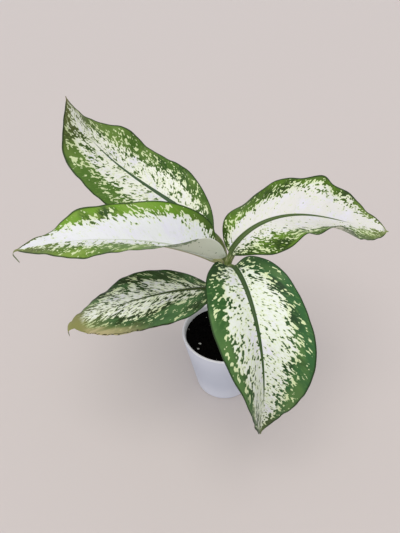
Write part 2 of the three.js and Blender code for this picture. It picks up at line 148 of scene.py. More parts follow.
# The leaves' shapes are those of the frame's leaf nodes, from the oldest, lowest leaf to the newest.
#   foot          height and azimuth on the cane, and how far from its axis the petiole starts
#   base          where petiole and blade meet
#   heading, bend azimuth of the blade at its base, and how far it turns by its tip
#   rise          elevation of the midrib at the blade's base, middle and tip
#   length, half  length along the midrib and half the greatest width
#   widest, taper where along the blade it is widest, and how bluntly it runs out to the tip
#   lobe          how far the blade's base reaches back beside the petiole, left and right
#   roll          twist about the midrib at the base and the tip
#   fold, curl    how far each half is folded up at the midrib, and how it curls, at base and tip
#   side          width of the left and right half against the nominal one
#   drip          the narrow drip tip: its length, how far it turns down, half its width at the blade
#   waves         edge waves of the left and right half: (place along the blade, reach, height)
LEAVES = {
    "leaf_left_low": Values(
        foot=(107, 200, PETIOLE.foot_radius), base=(-17, -6, 183), heading=206, bend=1,
        rise=(21, 5, -9), length=179, half=48.5, widest=0.53, taper=0.6, lobe=(-0.03, 0), roll=(-9, 9),
        fold=(-2, -7), curl=(14, 15), side=(1.14, 1), drip=(17, 82, 7),
        waves=(
            [(0.81, 0.11, -3.5)],
            [(0.74, 0.105, -9), (0.91, 0.075, -16.5)],
        ),
    ),
    "leaf_front": Values(
        foot=(121, 283, PETIOLE.foot_radius), base=(4.5, -34.5, 236.5), heading=284, bend=2,
        rise=(22, -63, -89), length=230, half=61.5, widest=0.4, taper=0.97, lobe=(-0.02, 0.01),
        roll=(9, -26), fold=(40, 37), curl=(-43, 19), side=(0.9, 0.95), drip=(2, 0, 1.1),
        waves=(
            [(0.01, 0.045, 34.5), (0.31, 0.135, -10), (0.9, 0.06, -10)],
            [(0.01, 0.045, 51.5), (0.33, 0.15, -11), (0.6, 0.085, 13), (0.91, 0.075, -8.5)],
        ),
    ),
    "leaf_back_left": Values(
        foot=(135, 135, PETIOLE.foot_radius), base=(-14.5, 20.5, 246), heading=150, bend=28,
        rise=(33, 31, 81), length=243, half=61, widest=0.54, taper=0.92, lobe=(0.03, 0.04),
        roll=(-15, 1), fold=(19, -12), curl=(-2, 3), side=(1.12, 1), drip=(2, 0, 1.1),
        waves=(
            [(0.84, 0.11, -21)],
            [(0.29, 0.11, 11), (0.73, 0.115, 22.5)],
        ),
    ),
    "leaf_right": Values(
        foot=(149, 335, PETIOLE.foot_radius), base=(3, -11, 239), heading=19, bend=-34,
        rise=(66, -7, -4), length=207, half=57.5, widest=0.49, taper=0.7, lobe=(0.03, 0), roll=(8, 7),
        fold=(14, 3), curl=(-20, 44), side=(1.07, 1.11), drip=(2, 0, 1.1),
        waves=(
            [
                (0.22, 0.075, -17), (0.32, 0.075, -11), (0.64, 0.055, 10.5), (0.78, 0.045, 5),
                (0.9, 0.045, -12),
            ],
            [(0.18, 0.11, -16.5), (0.38, 0.045, 11), (0.53, 0.09, 15), (0.65, 0.085, 9.5)],
        ),
    ),
    "leaf_left_new": Values(
        foot=(166, 193, 2), base=(-18.5, -10.5, 235), heading=193, bend=0, rise=(32, 12, -6),
        length=217, half=51, widest=0.36, taper=0.81, lobe=(0.1, 0.04), roll=(-18, -2), fold=(50, 8),
        curl=(14, -6), side=(1.04, 0.91), drip=(18, 105, 2),
        waves=(
            [(0.17, 0.115, 21), (0.34, 0.1, 1.5), (0.73, 0.105, -13)],
            [(0.46, 0.095, -4), (0.62, 0.1, 0.5), (0.72, 0.075, 13), (0.86, 0.06, -22.5)],
        ),
    ),
}

# How each leaf is marked. Pairs are the left and right half, seen from above with the tip up.
#   border    places along the blade, each with how far out the white centre reaches on either half,
#             as a share of the half's width
#   slant     how far a side vein runs on towards the tip for each millimetre out
#   grain     size of the flecks
#   stretch   how drawn out the flecks are along the side veins
#   breadth   how broad they are across the side veins
#   hold      how firmly the centre stays white: the lower, the more green flecks it has
#   margin    how firmly the margin stays green: the lower, the more white flecks it has
#   rib       half the width of the green band on the midrib, at the blade's base
#   dry       how dry the left margin is near the tip
#    dark_base how much of the blade, from its base, is darkened by painted shade
#   stalk     colours of the sheath, of the petiole above it and of the midrib under the blade
#   tip_blend where along the blade the tip's own colour sets in, and where it is full
MARKINGS = {
    "leaf_left_low": Values(
        border=[
            (0, 0.05, 0.05), (0.15, 0.12, 0.18), (0.3, 0.4, 0.46), (0.5, 0.36, 0.56), (0.6, 0.45, 0.54),
            (0.7, 0.5, 0.58), (0.8, 0.34, 0.68), (0.9, 0.22, 0.6), (1, 0, 0.2),
        ],
        slant=(1.5, 0.7), grain=0.75, stretch=(1.6, 1.6), breadth=(1, 1), hold=(0.07, 0.11),
        margin=(0.2, 0.22), rib=3.0, dry=1.0, green=("#3d6235", "#334b1f"), light_green="#507a44",
        dark_green="#26390f", dark_base=0.2, white="#f6faee", rib_green="#36481f", rib_line="#45562a",
        stalk=("#7d8a4a", "#5f7034", "#7a8a52"), tip="#8a8a50", tip_blend=(0.91, 0.965), seed=3,
    ),
    "leaf_front": Values(
        border=[
            (0, 0.1, 0.1), (0.1, 0.28, 0.42), (0.2, 0.46, 0.58), (0.3, 0.6, 0.64), (0.4, 0.64, 0.67),
            (0.6, 0.53, 0.76), (0.8, 0.52, 0.82), (0.9, 0.46, 0.7), (0.95, 0.2, 0.3), (0.98, -0.3, -0.3),
            (1, -0.5, -0.5),
        ],
        slant=(0.35, -0.05), grain=0.93, stretch=(1.1, 1.3), breadth=(1, 1.35), hold=(0.13, 0.11),
        margin=(0.21, 0.2), rib=4.2, dry=0.0, green=("#346234", "#315b27"), light_green="#54793f",
        dark_green="#1e3c1a", dark_base=0.25, white="#e8eee4", rib_green="#2f4d22", rib_line="#3f5628",
        stalk=("#a9ae78", "#64753a", "#7a8a52"), tip="#56662e", tip_blend=(0.955, 0.99), seed=11,
    ),
    "leaf_back_left": Values(
        border=[
            (0, 0.2, 0.4), (0.2, 0.5, 0.58), (0.4, 0.55, 0.61), (0.5, 0.6, 0.6), (0.6, 0.56, 0.61),
            (0.7, 0.48, 0.53), (0.8, 0.5, 0.5), (0.93, 0.5, 0.55), (1, 0.1, 0.1),
        ],
        slant=(0.35, 0.35), grain=1.0, stretch=(0.9, 0.8), breadth=(1, 1), hold=(0.12, 0.1),
        margin=(0.19, 0.17), rib=4.8, dry=0.0, green=("#4f7327", "#42651c"), light_green="#648237",
        dark_green="#2f5016", dark_base=0.25, white="#f1f3e7", rib_green="#36522f", rib_line="#466339",
        stalk=("#8f9a5c", "#5d6f36", "#7a8a52"), tip="#75733f", tip_blend=(0.975, 1), seed=23,
    ),
    "leaf_right": Values(
        border=[
            (0, 0.3, 0.3), (0.1, 0.47, 0.44), (0.3, 0.57, 0.47), (0.4, 0.58, 0.56), (0.5, 0.7, 0.76),
            (0.6, 0.79, 1.0), (0.7, 0.79, 0.57), (0.8, 0.8, 0.36), (0.9, 0.82, 0.3), (0.95, 1.1, 0.35),
            (1, 1, 0.5),
        ],
        slant=(0.35, 0.35), grain=0.85, stretch=(1.0, 0.8), breadth=(1, 1), hold=(0.24, 0.2),
        margin=(0.22, 0.15), rib=4.6, dry=0.0, green=("#4d6d1b", "#405e19"), light_green="#678a2a",
        dark_green="#2c4410", dark_base=0.2, white="#e3e2dd", rib_green="#445a28", rib_line="#546a36",
        stalk=("#8a9650", "#66773a", "#7a8a52"), tip="#7d8a4a", tip_blend=(0.975, 1), seed=37,
    ),
    "leaf_left_new": Values(
        border=[
            (0, 1.5, 0.68), (0.26, 1.5, 0.74), (0.31, 0.6, 0.73), (0.42, 0.25, 0.72), (0.6, 0.33, 0.72),
            (0.7, 0.44, 0.72), (0.8, 0.38, 0.86), (0.87, 0.25, 1.05), (0.95, 0.1, 1.1), (1, 0, 0.4),
        ],
        slant=(0.3, 0.3), grain=0.95, stretch=(1.2, 1.1), breadth=(1, 1), hold=(0.19, 0.26),
        margin=(0.16, 0.23), rib=1.6, dry=0.0, green=("#577a20", "#6f9b28"), light_green="#7f9c3f",
        dark_green="#2c4a14", dark_base=0.4, white="#e6e8ea", rib_green="#b4bfa8", rib_line="#dfe3dd",
        stalk=("#c5c69a", "#a3a574", "#b5ac8c"), tip="#808552", tip_blend=(0.975, 1), seed=53,
    ),
}

# ---- Colours and shader nodes ----


def rgb(code):
    """A linear colour from an sRGB hex code."""
    values = [int(code[i : i + 2], 16) / 255 for i in (1, 3, 5)]
    linear = [v / 12.92 if v <= 0.04045 else ((v + 0.055) / 1.055) ** 2.4 for v in values]
    return (*linear, 1.0)


class Shader:
    """One material around a Principled shader. Each method adds a node and returns its output."""

    def __init__(self, name):
        self.material = bpy.data.materials.new(name)
        self.material.use_nodes = True
        self.tree = self.material.node_tree

    def feed(self, socket, value):
        if isinstance(value, bpy.types.NodeSocket):
            self.tree.links.new(value, socket)
        else:
            socket.default_value = value

    def node(self, kind, inputs, output=0, **settings):
        made = self.tree.nodes.new("ShaderNode" + kind)
        for name, value in settings.items():
            setattr(made, name, value)
        for name, value in inputs.items():
            self.feed(made.inputs[name], value)
        return made.outputs[output]

    def math(self, operation, first, second=0.0, third=0.0):
        return self.node("Math", {0: first, 1: second, 2: third}, operation=operation)

    def times(self, first, second):
        return self.math("MULTIPLY", first, second)

    def plus(self, first, second):
        return self.math("ADD", first, second)

    def vector(self, operation, first, second):
        return self.node("VectorMath", {0: first, 1: second}, operation=operation)

    def attribute(self, name):
        return self.node("Attribute", {}, output="Vector", attribute_name=name)

    def millimetres(self):
        """Places in the frame, in millimetres."""
        place = self.node("TexCoord", {}, output="Object")
        return self.vector("DIVIDE", place, (MM, MM, MM))

    def parts(self, vector):
        """The X, Y and Z of a vector."""
        return self.node("SeparateXYZ", {0: vector}).node.outputs

    def between(self, value, low, high):
        """0 at low and 1 at high, with a smooth rise; low may be the greater one."""
        inputs = {"Value": value, "From Min": low, "From Max": high}
        return self.node("MapRange", inputs, interpolation_type="SMOOTHSTEP")

    def span(self, value, low, high):
        """0 to 1 turned into low to high."""
        return self.math("MULTIPLY_ADD", value, high - low, low)

    def blend(self, share, first, second):
        """A number between two others. The Mix node keeps its numbers in sockets 2 and 3."""
        return self.node("Mix", {0: share, 2: first, 3: second}, data_type="FLOAT")

    def mix(self, share, first, second):
        """A colour between two others. The Mix node keeps its colours in sockets 6 and 7."""
        return self.node("Mix", {0: share, 6: first, 7: second}, output=2, data_type="RGBA")

    def tint(self, tone, code, share, strength=1):
        """The tone with a colour laid over it where share is 1, as strongly as strength says."""
        if strength != 1:
            share = self.times(share, strength)
        return self.mix(share, tone, rgb(code))

    def layers(self, tone, *layers):
        """The tone under colours that each show as a value goes from low to high."""
        for code, value, low, high, *strength in layers:
            tone = self.tint(tone, code, self.between(value, low, high), *strength)
        return tone

    def noise(self, vector, size, detail=2, seed=0):
        """Soft noise about 0.5. size is the length of a swing in each direction of vector."""
        scaled = self.vector("DIVIDE", vector, size)
        moved = self.vector("ADD", scaled, (seed, 1.7 * seed, 0.3 * seed))
        return self.node("TexNoise", {"Vector": moved, "Scale": 1.0, "Detail": detail})

    def leaf_noise(self, vein, across, along, detail=2, seed=0):
        """Noise over a leaf, with its swings' lengths across and along the side veins."""
        return self.noise(vein, (across, along, 1e6), detail, seed)

    def finished(self, colour, roughness, specular=0.5, relief=None, depth=0):
        """The material. relief is noise that stands out by depth, in millimetres."""
        look = {"Base Color": colour, "Roughness": roughness, "Specular IOR Level": specular}
        if relief is not None:
            bump = {"Height": relief, "Distance": depth * MM, "Strength": 1}
            look["Normal"] = self.node("Bump", bump)
        for name, value in look.items():
            self.feed(self.tree.nodes["Principled BSDF"].inputs[name], value)
        return self.material


# ---- Meshes ----


def piece(name, points, faces, materials, face_materials=None, attributes=None, smooth=True):
    """A mesh object from points in millimetres."""
    mesh = bpy.data.meshes.new(name)
    mesh.from_pydata((np.asarray(points) * MM).tolist(), [], faces)
    for material in materials:
        mesh.materials.append(material)
    if face_materials is not None:
        mesh.polygons.foreach_set("material_index", face_materials)
    mesh.polygons.foreach_set("use_smooth", [smooth] * len(mesh.polygons))
    for key, values in (attributes or {}).items():
        layer = mesh.attributes.new(key, "FLOAT_VECTOR", "POINT")
        layer.data.foreach_set("vector", np.asarray(values, np.float32).ravel())
    mesh.validate()
    made = bpy.data.objects.new(name, mesh)
    bpy.context.scene.collection.objects.link(made)
    return made


def dress(made, node):
    """Puts a piece on the part's body, in place of a node of the frame."""
    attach(made, "root")
    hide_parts(node)


def millimetre_box(node):
    low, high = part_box(node)
    return np.array(low) / MM, np.array(high) / MM


def grid_faces(rows, columns, start=0, flip=False, closed=False):
    """Quads over a grid of points laid out row by row. closed joins the last column to the first."""
    grid = start + np.arange(rows * columns).reshape(rows, columns)
    if closed:
        grid = np.concatenate([grid, grid[:, :1]], 1)
    faces = np.stack([grid[:-1, :-1], grid[:-1, 1:], grid[1:, 1:], grid[1:, :-1]], -1).reshape(-1, 4)
    return [tuple(face) for face in (faces[:, ::-1] if flip else faces).tolist()]


def moved_faces(faces, shift):
    """Faces for points that come later in a mesh by shift."""
    return [tuple(index + shift for index in face) for face in faces]


def lerp(first, second, share):
    return first + (second - first) * share


def smoothstep(value, low, high):
    share = np.clip((value - low) / (high - low), 0, 1)
    return share * share * (3 - 2 * share)


def unit(vectors):
    return vectors / np.maximum(np.linalg.norm(vectors, axis=-1, keepdims=True), 1e-12)


# ---- Leaf: form, as the frame's leaf nodes have it ----


def elevation_at(leaf, part, past):
    """The midrib's elevation: a curve through its three values, and down along the drip tip."""
    start, middle, end = leaf.rise
    fall = leaf.drip[1] * np.minimum(1, 2 * past)
    near_base = start * (1 - part) * (1 - 2 * part)
    near_tip = end * part * (2 * part - 1)
    return near_base + 4 * middle * part * (1 - part) + (near_tip - fall)


def spine_of(leaf):
    """The midrib's course: distance, point, and the directions along it, to the right and out."""
    drip_length = leaf.drip[0]
    distance = np.linspace(0, leaf.length + drip_length, BLADE.spine_steps + 1)
    part = np.minimum(distance / leaf.length, 1)
    past = np.clip((distance - leaf.length) / drip_length, 0, 1)
    elevation = np.radians(elevation_at(leaf, part, past))
    azimuth = np.radians(leaf.heading + leaf.bend * part**BLADE.late_bend)
    level = np.stack([np.sin(azimuth), -np.cos(azimuth), 0 * azimuth], -1)
    outward = np.stack([np.cos(azimuth), np.sin(azimuth), 0 * azimuth], -1)
    along = outward * np.cos(elevation)[:, None] + UP * np.sin(elevation)[:, None]
    steps_taken = (along[1:] + along[:-1]) / 2 * distance[1]
    above = np.cross(level, along)
    roll = np.radians(lerp(*leaf.roll, part))[:, None]
    return Values(
        distance=distance,
        point=np.array(leaf.base) + np.concatenate([np.zeros((1, 3)), np.cumsum(steps_taken, 0)]),
        along=along,
        right=level * np.cos(roll) - above * np.sin(roll),
        face=above * np.cos(roll) + level * np.sin(roll),
    )


def spine_at(spine, distance):
    """The spine's point and directions at any distance, run on straight beyond its ends."""
    held = np.clip(distance, 0, spine.distance[-1])

    def pick(values):
        return np.stack([np.interp(held, spine.distance, values[:, k]) for k in range(3)], -1)

    along = pick(spine.along)
    point = pick(spine.point) + along * (distance - held)[..., None]
    return Values(point=point, right=pick(spine.right), face=pick(spine.face))


def half_width(leaf, t):
    """Half the blade's width at t, which runs from base (0) to tip (1) and on along the drip tip."""
    part = np.minimum(t, 1)
    power = leaf.taper * leaf.widest / (1 - leaf.widest)
    peak = leaf.widest**power * (1 - leaf.widest) ** leaf.taper
    swell = part**power * (1 - part) ** leaf.taper / peak
    drip_length, _, drip_half_width = leaf.drip
    past = np.maximum(t - 1, 0) * leaf.length / drip_length
    return np.maximum(leaf.half * swell, lerp(drip_half_width, BLADE.tip_half_width, past))


def by_side(pair, across):
    """The left or the right value, by the sign of across."""
    return np.where(across < 0, pair[0], pair[1])


def side_of(across):
    """-1 on the left half and 1 on the right one."""
    return by_side((-1, 1), across)


def flat_place(leaf, t, across):
    """Distance along the midrib and out from it, on the blade laid flat."""
    v = np.abs(across)
    part = np.minimum(t, 1)
    past = np.maximum(t - 1, 0) * leaf.length
    lobe = by_side(leaf.lobe, across)
    edge = leaf.length * (part - lobe * np.sin(np.pi * np.minimum(1, part / BLADE.lobe_reach)))
    midrib = leaf.length * part**BLADE.crowding
    late = BLADE.vein_sweep
    return lerp(midrib, edge, (1 - late) * v + late * v * v) + past, half_width(leaf, t) * v


def wave_lift(leaf, part, across):
    """How far the edge waves lift the edge beside each place."""
    lift = np.zeros_like(part)
    for side, waves in zip((-1, 1), leaf.waves):
        for place, reach, height in waves:
            lift += (side_of(across) == side) * height * np.exp(-(((part - place) / reach) ** 2))
    return lift


def blade_points(leaf, t, across):
    """The blade's middle surface at t and across, from the left edge (-1) to the right one (1)."""
    distance, reach = flat_place(leaf, t, across)
    part = np.clip(distance / leaf.length, 0, 1)
    fold = np.radians(lerp(*leaf.fold, part))
    curl = np.radians(lerp(*leaf.curl, part)) / leaf.half
    out, up = np.zeros_like(reach), np.zeros_like(reach)
    for bend in range(BLADE.bends):
        run = reach * (bend + 0.5) / BLADE.bends
        angle = fold * (1 - np.exp(-run / BLADE.crease_radius)) + curl * run
        out += np.cos(angle) * reach / BLADE.bends
        up += np.sin(angle) * reach / BLADE.bends
    up += wave_lift(leaf, part, across) * (reach / leaf.half) ** 2
    out *= by_side(leaf.side, across) * side_of(across)
    at = spine_at(spine_of(leaf), distance)
    return at.point + at.right * out[..., None] + at.face * up[..., None]


# ---- Leaf: the fine blade ----


def vein_places(leaf, marks, t, across):
    """Millimetres along the midrib to where the side vein through a place starts, and out along it."""
    reach = half_width(leaf, t) * np.abs(across)
    return leaf.length * t - by_side(marks.slant, across) * reach, reach


def surface_relief(leaf, marks, t, across):
    """Small rises and falls of the blade: sunk side veins, and ripples."""
    start, reach = vein_places(leaf, marks, t, across)
    width, side = half_width(leaf, t), side_of(across)
    stray = VEINS.straying * np.sin(VEINS.stray_swing * start + marks.seed) + VEINS.offset * side
    vein = np.cos(2 * np.pi * (start / VEINS.pitch + stray))
    shown = smoothstep(reach, *VEINS.from_midrib) * smoothstep(width - reach, *VEINS.from_edge)
    sunk = -VEINS.depth * np.maximum(vein, 0) ** VEINS.sharpness * shown
    broad = np.sin(RIPPLES.broad * start + RIPPLES.offset * side + marks.seed)
    fine = RIPPLES.fine_share * np.sin(RIPPLES.fine * start + RIPPLES.fine_phase * marks.seed)
    swell = RIPPLES.height * (broad + fine) * np.abs(across) ** RIPPLES.towards_edge
    return sunk + swell * smoothstep(width, *RIPPLES.full_width)


def rib_half_width(marks, t):
    """Half the width of the green band along the midrib, on the upper face."""
    return marks.rib * np.clip(1 - t / RIB.end, RIB.least, 1) ** RIB.taper


def border_distance(leaf, marks, t, across):
    """How far inside the white centre's border a place lies, in millimetres."""
    places, left, right = zip(*marks.border)
    share = by_side([np.interp(t, places, values) for values in (left, right)], across)
    return (share - np.abs(across)) * np.maximum(half_width(leaf, t), FLECKS.least_half * leaf.half)


def blade_grid(leaf):
    """t and across of the blade's points, row by row from the base to the drip tip's end."""
    last = 1 + leaf.drip[0] / leaf.length
    rows = np.linspace(0, 1, BLADE.rows + 1)
    drip_rows = np.linspace(1, last, BLADE.drip_rows + 1)[1:]
    half = np.linspace(0, 1, BLADE.columns + 1) ** BLADE.column_crowding
    columns = np.concatenate([-half[:0:-1], half])
    return np.meshgrid(np.concatenate([rows, drip_rows]), columns, indexing="ij")


def blade_surfaces(leaf, marks, t, across):
    """Points of the blade's upper and of its lower face."""
    middle = blade_points(leaf, t, across)
    normal = unit(np.cross(np.gradient(middle, axis=1), np.gradient(middle, axis=0)))
    middle = middle + normal * surface_relief(leaf, marks, t, across)[..., None]
    reach = half_width(leaf, t) * np.abs(across)
    edge = half_width(leaf, t) - reach
    thick = lerp(BLADE.edge_thickness, BLADE.thickness, smoothstep(edge, 0, BLADE.edge_taper))
    band = rib_half_width(marks, t)
    ridge = RIB.ridge * (band / marks.rib) * np.exp(-((reach / band) ** 2))
    return middle + normal * (thick / 2 + ridge)[..., None], middle - normal * (thick / 2)[..., None]


def blade_attributes(leaf, marks, t, across):
    """What the blade's markings are drawn by, for the points of one face.

    vein: a number for the side vein through the point, the run out along it (less than 0 on the
    left half), and the distance inside the white centre's border.
    place: t, the distance from the edge, and that from the midrib in half widths of its green band.
    """
    start, reach = vein_places(leaf, marks, t, across)
    tilt = np.hypot(1, by_side(marks.slant, across))
    crowding = 1 + FLECKS.tip_crowding * smoothstep(t, FLECKS.crowd_from, 1)
    run = reach * side_of(across) * tilt / by_side(marks.stretch, across) * crowding
    line = start / tilt / by_side(marks.breadth, across)
    vein = np.stack([line, run, border_distance(leaf, marks, t, across)], -1)
    place = np.stack([t, half_width(leaf, t) - reach, reach / rib_half_width(marks, t)], -1)
    return vein.reshape(-1, 3), place.reshape(-1, 3)


def rim_faces(rows, columns, offset):
    """Quads that close the gap between the upper and the lower grid all round."""
    grid = np.arange(rows * columns).reshape(rows, columns)
    loop = np.concatenate([grid[:, 0], grid[-1, 1:], grid[-2::-1, -1], grid[0, -2:0:-1]]).tolist()
    return [(a, b, b + offset, a + offset) for a, b in zip(loop, loop[1:] + loop[:1])]


def blade_mesh(leaf, marks):
    """Points, faces, attributes, and each face's material: 0 above and round the rim, 1 below."""
    t, across = blade_grid(leaf)
    surfaces = blade_surfaces(leaf, marks, t, across)
    vein, place = blade_attributes(leaf, marks, t, across)
    upper = grid_faces(*t.shape)
    lower = grid_faces(*t.shape, start=t.size, flip=True)
    rim = rim_faces(*t.shape, t.size)
    return Values(
        points=np.concatenate([surface.reshape(-1, 3) for surface in surfaces]),
        faces=upper + lower + rim,
        materials=[0] * len(upper) + [1] * len(lower) + [0] * len(rim),
        vein=np.tile(vein, (2, 1)),
        place=np.tile(place, (2, 1)),
    )


# ---- Leaf: the fine petiole and midrib ----


def petiole_course(leaf, spine):
    """The petiole's cubic curve from its foot on the cane to the blade, as points and tangents."""
    height, azimuth, radius = leaf.foot
    azimuth = math.radians(azimuth)
    start = np.array([radius * math.cos(azimuth), radius * math.sin(azimuth), height])
    end = spine.point[0]
    reach = np.linalg.norm(end - start)
    first = start + UP * PETIOLE.upright * reach
    second = end - spine.along[0] * PETIOLE.levelling * reach
    part = np.linspace(0, 1, PETIOLE.rings, endpoint=False)
    p = part[:, None]
    ends, handles = (1 - p) ** 3 * start + p**3 * end, (1 - p) * first + p * second
    point = ends + 3 * p * (1 - p) * handles
    slope = (1 - p) ** 2 * (first - start) + 2 * p * (1 - p) * (second - first) + p**2 * (end - second)
    return part, point, unit(slope), azimuth


def petiole_sections(leaf, spine):
    """Centres, two axes, half widths, half depths and groove depths of the petiole's sections."""
    part, point, along, azimuth = petiole_course(leaf, spine)
    clasping = np.array([math.sin(azimuth), -math.cos(azimuth), 0.0])
    side = lerp(clasping, spine.right[0], smoothstep(part, 0, PETIOLE.turn_end)[:, None])
    side = unit(side - along * (side * along).sum(-1, keepdims=True))
    sheath = 1 - smoothstep(part, PETIOLE.sheath_start, PETIOLE.sheath_end)
    swell = lerp(PETIOLE.foot_taper, 1, smoothstep(part, 0, PETIOLE.foot_end))
    sink = PETIOLE.radius * PETIOLE.midrib_sink * smoothstep(part, PETIOLE.sink_start, 1)
    grooved = smoothstep(part, *PETIOLE.groove_opens) * (1 - smoothstep(part, *PETIOLE.groove_closes))
    centre = point - spine.face[0] * sink[:, None]
    half_width = lerp(PETIOLE.radius, PETIOLE.sheath_half_width, sheath) * swell
    half_depth = lerp(PETIOLE.radius, PETIOLE.sheath_half_depth, sheath) * swell
    return centre, side, np.cross(side, along), half_width, half_depth, PETIOLE.groove * grooved


def midrib_sections(leaf, spine):
    """The same for the midrib, which is round and runs sunk in the blade's underside."""
    part = np.linspace(0, 1, PETIOLE.midrib_rings)
    at = spine_at(spine, part * PETIOLE.midrib_end * leaf.length)
    radius = lerp(PETIOLE.radius, PETIOLE.midrib_end_radius, part**PETIOLE.midrib_taper)
    centre = at.point - at.face * (radius * PETIOLE.midrib_sink)[:, None]
    return centre, at.right, at.face, radius, radius, 0 * radius


def stalk_mesh(leaf):
    """The petiole and the midrib as one tapering tube, with attributes for its colours.

    vein: the run along the stalk and round it. place: 0 to 1 up the petiole, and more along the
    midrib; and how far the point faces up.
    """
    spine = spine_of(leaf)
    runs = zip(petiole_sections(leaf, spine), midrib_sections(leaf, spine))
    centre, side, depth, half_width, half_depth, groove = (np.concatenate(run)[:, None] for run in runs)
    angle = np.linspace(0, 2 * np.pi, PETIOLE.sides, endpoint=False)
    across, out = np.cos(angle), np.sin(angle)
    hollow = np.exp(-((across / PETIOLE.groove_width) ** 2)) * (out > 0) * out
    widths, depths = half_width * across, half_depth * out - groove * hollow
    points = centre + side * widths[..., None] + depth * depths[..., None]
    rings, sides = depths.shape
    faces = grid_faces(rings, sides, closed=True, flip=True)
    faces.append(tuple(range(sides)))
    faces.append(tuple(range((rings - 1) * sides, rings * sides))[::-1])
    run = np.cumsum(np.linalg.norm(np.diff(centre[:, 0], axis=0, prepend=centre[0]), axis=-1))
    share = np.arange(rings) / PETIOLE.rings
    return Values(
        points=points.reshape(-1, 3),
        faces=faces,
        vein=stalk_attribute(run, half_width * angle),
        place=stalk_attribute(share, out),
    )


def stalk_attribute(along, around):
    """One value a ring and one a point, as the first two parts of a vector for every point."""
    along, around = np.broadcast_arrays(along[:, None], around)
    return np.stack([along, around, 0 * around], -1).reshape(-1, 3)


def make_leaf(name):
    leaf, marks = LEAVES[name], MARKINGS[name]
    blade, stalk = blade_mesh(leaf, marks), stalk_mesh(leaf)
    made = piece(
        name + "_fine",
        np.concatenate([blade.points, stalk.points]),
        blade.faces + moved_faces(stalk.faces, len(blade.points)),
        [upper_face(name, marks), lower_face(name, marks), stalk_skin(name, marks)],
        blade.materials + [2] * len(stalk.faces),
        {
            "vein": np.concatenate([blade.vein, stalk.vein]),
            "place": np.concatenate([blade.place, stalk.place]),
        },
    )
    dress(made, name)


# ---- Leaf: markings ----
#
# Noise lies about 0.5, so a rise from 0.45 to 0.65, say, takes in the upper part of its swings.

CREAM = "#d5e2ae"


def whiteness(net, marks):
    """1 where the leaf is white and 0 where it is green, how far inside the border, and how surely."""
    vein, seed = net.attribute("vein"), marks.seed
    _, run, inside = net.parts(vein)
    blotch, fleck = ([size * marks.grain for size in sizes] for sizes in (FLECKS.blotch, FLECKS.fleck))
    bays = net.leaf_noise(vein, FLECKS.bay, FLECKS.bay, detail=0, seed=seed)
    blotches = net.leaf_noise(vein, *blotch, detail=1, seed=seed + 5)
    flecks = net.leaf_noise(vein, *fleck, detail=1, seed=seed + 9)
    depth = net.plus(inside, net.span(bays, -FLECKS.bay_reach, FLECKS.bay_reach))
    right = net.math("GREATER_THAN", run, 0)
    white_hold, green_hold = net.span(right, *marks.hold), net.span(right, *marks.margin)
    hold = net.blend(net.math("GREATER_THAN", depth, 0), green_hold, white_hold)
    hold = net.times(hold, net.math("TANH", net.math("DIVIDE", depth, FLECKS.settling)))
    within = net.between(depth, 0, FLECKS.within)
    blotches = swings(net, blotches, FLECKS.blotch_swing, within, FLECKS.blotch_within)
    flecks = swings(net, flecks, FLECKS.fleck_swing, within, FLECKS.fleck_within)
    field = net.plus(net.plus(blotches, flecks), hold)
    field = net.math("SUBTRACT", field, green_rim(net, inside))
    return net.between(field, -FLECKS.softness, FLECKS.softness), depth, field


def swings(net, noise, swing, within, left):
    """Noise swung about 0, and calmed well inside the white centre."""
    return net.times(net.span(noise, -swing, swing), net.span(within, 1, left))


def green_rim(net, inside):
    """How firmly the rim is green, where the white centre doesn't reach it."""
    edge = net.parts(net.attribute("place"))["Y"]
    bands = [net.times(net.between(edge, far, near), firm) for far, near, firm in FLECKS.green_rims]
    return net.times(net.plus(*bands), net.between(inside, *FLECKS.rim_border))


def green_tones(net, marks, vein, part, edge, depth):
    """Patchy green, dark among the white, with painted shade towards the base and along the rim, halves
    in greens that also carry painted light and shade, and olive at the tip.
    """
    left, right = (rgb(code) for code in marks.green)
    # Each half has its own green, which in part paints the light and shade that fall differently on the
    # two halves.
    tone = net.mix(net.math("GREATER_THAN", net.parts(vein)["Y"], 0), left, right)
    light = net.leaf_noise(vein, 34, 30, detail=1, seed=marks.seed + 2)
    dark = net.leaf_noise(vein, 26, 34, detail=1, seed=marks.seed + 3)
    mottle = net.leaf_noise(vein, 2.2, 5, seed=marks.seed + 6)
    tone = net.layers(
        tone,
        (marks.light_green, light, 0.45, 0.65),
        (marks.dark_green, dark, 0.5, 0.68),
        (marks.light_green, mottle, 0.5, 0.75),
        (marks.dark_green, depth, -5, 8, 0.65),
        # Painted shade: the green darkens towards the base, where the leaves above shade it.
        (marks.dark_green, part, marks.dark_base, 0.3 * marks.dark_base, 0.75),
        (marks.tip, part, 0.75, 1, 0.6),
    )
    # Painted shade: a dark line along the edge of the green margin.
    rim = net.times(net.between(edge, 2.5, 0.7), net.between(depth, 10, 2))
    return net.tint(tone, "#1d3413", rim, strength=0.85)


def white_tones(net, marks, vein, depth, field):
    """The white of the centre: creamy next to the green, faintly lilac well inside."""
    cast = net.leaf_noise(vein, 16, 26, seed=marks.seed + 4)
    shade = net.leaf_noise(vein, 3, 9, seed=marks.seed + 7)
    return net.layers(
        rgb(marks.white),
        ("#e4e3ee", cast, 0.45, 0.75),
        ("#c6cfb6", shade, 0.55, 0.8, 0.3),
        (CREAM, field, 0.16, 0, 0.75),
        (CREAM, depth, 6, -8),
    )


